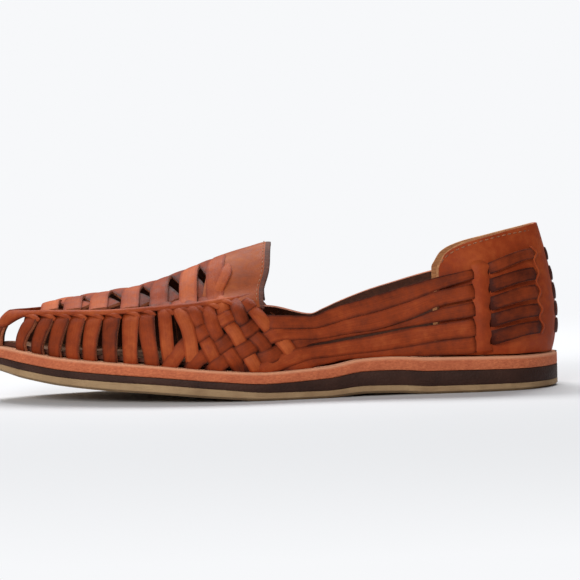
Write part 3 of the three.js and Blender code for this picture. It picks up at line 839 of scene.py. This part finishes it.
def makeRidge():
    bm = bmesh.new()
    path = []
    half = ridgeBand["half"]
    for i in range(2 * half + 1):
        side = lateral if i <= half else medial
        angle = angleAt(soleAtRim(ridgeBand["end"])) * abs(1 - i / half)
        rimX = follow(upper, "rimX", -halfLength * math.cos(angle))
        level = levelAt(side, angle, follow(ridge, "height", rimX))
        fade = smooth(rimX, -26, -14)
        wide = ridgeBand["width"] + ridgeBand["toeWider"] * (1 - smooth(rimX, -119, -108))
        lift = ridgeBand["lift"] - ridgeBand["sinks"] * fade
        path.append((form(side, angle, level), formNormal(side, angle, level), lift, wide))
    addStrap(bm, path, ridgeBand["tone"], crown=ridgeBand["crown"], wide=6)
    heads = sideStraps["heads"] + ridgeBand["backHeads"]
    for side in (lateral, medial):
        for x in heads:
            x += ridgeBand["innerBack"] if side == medial else 0
            z = follow(ridge, "height", x)
            rows = [(x + back, z + up, lift, width) for back, up, lift, width in ridgeBand["lobe"]]
            strapOn(bm, side, rows, 12, chance.uniform(0.46, 0.62), crown=0.4)
    finish("ridge_thong", bm, strapLooks, slot="strap_leather", thick=1.5, bevel=0.25, rounds=1)


# The sole's x at which the upper has this x at a level
def soleUnder(x, level):
    return lastBelow(-halfLength, halfLength, 22, lambda at: form(lateral, angleAt(at), level).x < x)


# Straps over the top: each stands upright on its own side, leans back beyond the crest and goes under there
lattice = {
    "starts": (-101.5, -90.6, -78.5, -64.0, -50.7, -37.3, -25.0),
    "path": ((0.86, -0.2, 0.0), (1.1, 0, 0.6), (1.3, 0, 0.8), (1.6, 0.4, 0.9), (2, 1.8, 0.1),
             (2.4, 4.6, -0.8), (2.7, 8.6, -1.0), (2.97, 13, -0.6)),
    "thick": 1.4, "width": 8.4, "pitch": 13, "end": -23.5,  # the path's own pitch, and where it is cut off
    "leaf": ((31, -24.5, 0.4, 5.0), (36, -21.6, 1.1, 5.4), (41, -19.6, 1.2, 5.0), (45.5, -19.2, 0.8, 3.6)),
}


def makeLattice():
    bm = bmesh.new()
    starts = lattice["starts"]
    for k, start in enumerate(starts):
        pitch = (starts[k + 1] if k + 1 < len(starts) else start + lattice["pitch"]) - start
        for side in (lateral, medial):
            own = start if side == lateral else start + pitch / 2
            path = []
            rows = [(t * 30, own + lean * pitch / lattice["pitch"], lift, lattice["width"])
                    for t, lean, lift in lattice["path"]]
            for t, x, lift, width in smoothPath(rows, 32):
                t /= 30
                at = soleUnder(x, t if t <= 2 else 4 - t)
                point, normal = across(at, t if side == lateral else 4 - t)
                path.append((point, normal, lift, width))
            path = [spot for spot in path if spot[0].x < lattice["end"]]
            if len(path) > 6:
                addStrap(bm, path, chance.uniform(0.45, 0.85), crown=0.35)
    for side in (lateral, medial):  # the short end that lies on the panel's front edge
        path = []
        for t, x, lift, width in smoothPath(lattice["leaf"], 14):
            t /= 30
            at = soleUnder(x, t)
            path.append((*across(at, t if side == lateral else 4 - t), lift, width))
        addStrap(bm, path, 0.7, crown=0.35, taper=(0, 5))
    finishStraps("top_lattice", bm, lattice["thick"], 0.25)


for side in (lateral, medial):
    makeSideStraps(side)
    makeWeave(side)
makeToeStrap()
makeRidge()
makeLattice()
print("woven upper made")


panel = {"front": -25.5, "back": 5.8, "columns": 14, "rows": 36, "thick": 2,
         "cornersForward": 5, "lift": 0.5, "roll": 0.5, "rolled": 3}


# A point of the panel by x and by its share from the outer edge to the inner one
def panelSpot(x, share, lift=0):
    x -= panel["cornersForward"] * smooth(abs(share - 0.5), 0.26, 0.5) * smooth(x, -16, panel["back"])
    angle = angleAt(x)
    edges = [levelAt(side, angle, follow(panelEdge, "height", x), 2) for side in (lateral, medial)]
    t = edges[0] + (4 - edges[1] - edges[0]) * share
    point, normal = across(x, t)
    return point + normal * lift


def makePanel():
    bm = bmesh.new()

    def spot(i, j):
        x = panel["front"] + (panel["back"] - panel["front"]) * i / panel["columns"]
        share = j / panel["rows"]
        roll = panel["roll"] * smooth(i, panel["columns"] - panel["rolled"], panel["columns"])
        return panelSpot(x, share, panel["lift"] + roll * 0.6)

    spots = addSheet(bm, panel["columns"], panel["rows"], spot)
    for face in bm.faces:
        column = min(spots[vert][0] for vert in face.verts)
        face.material_index = 1 if column == panel["columns"] - 1 else 0
    finish("throat_panel_shaped", bm, [panelLeather, darkEdge], stands=("throat_panel",),
           slot="panel_leather", thick=panel["thick"], rim=1, bevel=0.4, rounds=1)


# The sole's x of the counter's columns, close together where the leather is cut
counterAt = [75, 76.6, 78.7, 81, 83, 85, 88, 90.5, 93, 94.4, 96.5, 98.6, 100, 103, 106, 109.5, 113, 116.5,
             120, 123, 126, 128.5, 130.3, 131]
counter = {
    "depth": 1.6, "innerLower": 1.8, "heelProud": 1.3, "thick": 1.1, "rows": 22,
    "liningDeeper": 1.3, "liningAhead": 1.1, "liningAbove": 0.016,  # the last is a share of the height
    "slots": (8, 11), "bulge": 0.75, "bulgeEdge": 0.4, "bulgeRow": 0.35,  # of the band between the slots
}


# The counter's top edge, a little lower on the inner side
def counterCrown(side, x):
    crown = follow(counterEdge, "height", follow(upper, "rimX", x))
    return crown - (counter["innerLower"] * (1 - smooth(x, 100, halfLength)) if side == medial else 0)


# The levels of the counter's rows, which follow the edges of the long straps
def counterLevels(side, x):
    angle = angleAt(x)
    crown = counterCrown(side, x)
    heights = [min(follow(longStraps, "e" + str(j), x), crown - 11 + j) for j in range(10)] + [crown]
    levels = [0] + [levelAt(side, angle, height) for height in heights]
    return [value for a, b in zip(levels, levels[1:]) for value in (a, (a + b) / 2)] + [levels[-1]]


# The counter's outer leather and its lining, whose raw edge shows as a pale line above the leather
def makeCounter():
    for name, lining in (("heel_counter_leather", False), ("heel_counter_lining", True)):
        bm = bmesh.new()
        last = 2 * (len(counterAt) - 1)
        levels = {(side, x): counterLevels(side, x) for side in (lateral, medial) for x in counterAt}
        depth = counter["depth"] + (counter["liningDeeper"] if lining else 0)

        def spot(i, j):
            side, x = (lateral, counterAt[i]) if i < len(counterAt) else (medial, counterAt[last - i])
            level = levels[side, x][j]
            if not lining:
                x += counter["liningAhead"] * (1 - smooth(x, 75, 79))
                level -= counter["liningAbove"] * smooth(j, 18, 22) * (1 - smooth(x, 100, halfLength))
            angle = angleAt(x)
            bulge = 0
            if not lining and 94 < x < 100.5 and 1 < j < 21:
                bulge = counter["bulge"] if 95 < x < 98 else counter["bulgeEdge"]
                bulge += counter["bulgeRow"] if j % 4 == 0 else 0
            sunk = depth - counter["heelProud"] * smooth(x, 121, 128)
            return form(side, angle, level) + formNormal(side, angle, max(level, 0.02)) * (bulge - sunk)

        spots = addSheet(bm, last, counter["rows"], spot)
        cut = []
        for face in bm.faces:
            i = min(spots[vert][0] for vert in face.verts)
            j = min(spots[vert][1] for vert in face.verts)
            mirror = min(i, last - 1 - i)
            if mirror in counter["slots"] and 1 < j < counter["rows"] and (j // 2) % 2 == 1:
                cut.append(face)
        bmesh.ops.delete(bm, geom=cut, context="FACES")
        finish(name, bm, [goldenEdge if lining else counterLeather, goldenEdge if lining else cutEdge],
               stands=() if lining else ("heel_counter",), slot="panel_leather",
               thick=counter["thick"], rim=1 if lining else 0, bevel=0.25, rounds=2)


shortStrap = {"path": ((97.6, -2.6), (99.2, -1.2), (101, 0.0), (108, 0.4), (116, 0.3)),
              "end": 122.6, "endLift": -0.3, "wider": 0.5, "thick": 1.5}
heelLoop = {"half": 12, "turn": 0.17, "wider": 1.4, "lift": 0.1, "sinks": 1.2, "thick": 1.5}


# The short straps of the counter and the loops round the heel, each in the place of its solid
def makeShortStraps():
    for row in range(5):
        for side, label in ((lateral, "lateral"), (medial, "medial")):
            bm = bmesh.new()
            rows = []
            for x, lift in (*shortStrap["path"], (shortStrap["end"] - row / 2, shortStrap["endLift"])):
                z0, z1 = strapEdges(row, x)
                rows.append((x, (z0 + z1) / 2, lift, z1 - z0 + shortStrap["wider"]))
            # Painted shade: the short straps get a darker tone than the straps of the forefoot
            strapOn(bm, side, rows, 18, chance.uniform(0.08, 0.36), crown=0.4, taper=(0, 0.8))
            name = "counter_strap_" + label + "_" + str(row + 1)
            finishStraps(name + "_shaped", bm, shortStrap["thick"], stands=(name,))
        bm = bmesh.new()
        path = []
        z0, z1 = strapEdges(row, halfLength)
        for i in range(2 * heelLoop["half"] + 1):
            turn = (i - heelLoop["half"]) / heelLoop["half"]
            side = lateral if turn < 0 else medial
            angle = math.pi - heelLoop["turn"] * abs(turn)
            level = levelAt(side, angle, (z0 + z1) / 2 + 0.4 * abs(turn))
            lift = heelLoop["lift"] - heelLoop["sinks"] * smooth(abs(turn), 0.6, 1)
            width = z1 - z0 + heelLoop["wider"]
            path.append((form(side, angle, level), formNormal(side, angle, level), lift, width))
        # Painted shade: the heel loops get a tone near zero, much darker than the other straps, for their
        # shaded side
        addStrap(bm, path, chance.uniform(-0.1, 0.1), crown=0.4)
        name = "heel_loop_" + str(row + 1)
        finishStraps(name + "_shaped", bm, heelLoop["thick"], stands=(name,))


scallops = {"line": 123.4, "edgesAt": 119, "band": 95.2, "bandEdgesAt": 94, "tone": 0.7, "thick": 0.8}


# The counter's raised leather: a scalloped line round the ends of the short straps, and a band over the
# ends of the long ones, wider between them
def makeScallops():
    bm = bmesh.new()
    for side in (lateral, medial):
        rows = []
        for row in range(5):
            z0, z1 = strapEdges(row, scallops["edgesAt"])
            x = scallops["line"] - row / 2
            rows += [(x - 0.9, z0 - 0.4, -0.2, 1.0), (x + 0.5, (z0 + z1) / 2, 0.0, 1.4)]
        rows.append((x - 2.6, z1 + 1.2, -0.6, 0.8))
        strapOn(bm, side, rows, 60, scallops["tone"], crown=0.3)
        band = scallops["band"]
        rows = [(band, 17, -2.2, 8)]
        for row in range(5):
            z0, z1 = strapEdges(row, scallops["bandEdgesAt"])
            rows += [(band, z0 - 0.6, -0.8, 8.6), (band, (z0 + z1) / 2, -0.7, 6.6)]
        rows += [(band, z1 + 1, -0.8, 8.6), (band, z1 + 4, -2.9, 6)]
        strapOn(bm, side, rows, 70, scallops["tone"], crown=1.2, wide=6)
    finish("scallop_line", bm, [counterLeather], slot="panel_leather", thick=scallops["thick"],
           bevel=0.15, rounds=1)


makePanel()
makeScallops()
makeCounter()
makeShortStraps()
print("panel and counter made")


stitch = {"length": 2.1, "spacing": 2.9, "width": 0.55, "panelAt": 2.6, "panelLift": 0.62,
          "counterFront": 77.4, "counterBelow": 2.6, "counterProud": 0.12}


def addStitch(bm, point, along, normal, length):
    side = normal.cross(along).normalized()
    turn = Matrix((along, side, normal)).transposed().to_4x4()
    turn.translation = point
    shape = Matrix.Diagonal((length / 2, stitch["width"] / 2, stitch["width"] / 2, 1))
    bmesh.ops.create_uvsphere(bm, u_segments=6, v_segments=5, radius=1,
                              matrix=turn @ shape @ Matrix.Rotation(math.pi / 2, 4, "Y"))


def addSeam(bm, path):
    lengths = [0]
    for (a, _), (b, _) in zip(path, path[1:]):
        lengths.append(lengths[-1] + (b - a).length)
    at = stitch["spacing"] / 2
    for i in range(len(path) - 1):
        while lengths[i] <= at < lengths[i + 1]:
            share = (at - lengths[i]) / (lengths[i + 1] - lengths[i])
            point = path[i][0].lerp(path[i + 1][0], share)
            addStitch(bm, point, (path[i + 1][0] - path[i][0]).normalized(), path[i][1], stitch["length"])
            at += stitch["spacing"]


def makeStitches():
    bm = bmesh.new()
    path = []
    for j in range(61):
        share = 0.03 + 0.94 * j / 60
        point = panelSpot(stitch["panelAt"], share, stitch["panelLift"])
        path.append((point, (panelSpot(stitch["panelAt"], share, 2) - point).normalized()))
    addSeam(bm, path)
    finish("panel_stitches", bm, [thread], slot="panel_leather")
    bm = bmesh.new()
    path = []
    last = 2 * (len(counterAt) - 1)
    for i in range(last + 1):
        side, x = (lateral, counterAt[i]) if i < len(counterAt) else (medial, counterAt[last - i])
        x = max(x, stitch["counterFront"])
        angle = angleAt(x)
        level = levelAt(side, angle, counterCrown(side, x) - stitch["counterBelow"])
        normal = formNormal(side, angle, level)
        depth = counter["depth"] - stitch["counterProud"]
        path.append((form(side, angle, level) - normal * depth, normal))
    addSeam(bm, [spot for a, spot in zip([None] + path, path) if not a or (a[0] - spot[0]).length > 0.2])
    finish("counter_stitches", bm, [thread], slot="panel_leather")


makeStitches()
print("stitches made")


setting = {
    "floorRadius": 30, "backdrop": rgb(247, 248, 250), "fill": 0.24,
    "lights": (("top_soft", (0.0, 0.48, 0.8), (1.0, 0.3), 11.0),
               ("front_fill", (-0.5, -1.2, 0.6), (0.8, 0.5), 11.4)),
}


def makeSetting():
    bm = bmesh.new()
    bmesh.ops.create_circle(bm, cap_ends=True, segments=64, radius=setting["floorRadius"])
    addObject("floor", bm, [floorLook])
    world = bpy.data.worlds.new("studio")
    world.use_nodes = True
    tree = world.node_tree
    back = tree.nodes["Background"]
    back.inputs["Color"].default_value = setting["backdrop"]
    seen = put(tree, "LightPath").outputs["Is Camera Ray"]
    tree.links.new(ranged(tree, seen, 0, 1, setting["fill"], 1), back.inputs["Strength"])
    bpy.context.scene.world = world
    bpy.context.scene.view_settings.view_transform = "Standard"
    for light in setting["lights"]:
        makeLight(*light)


makeCamera()
makeSetting()
print("camera, floor and lights made")
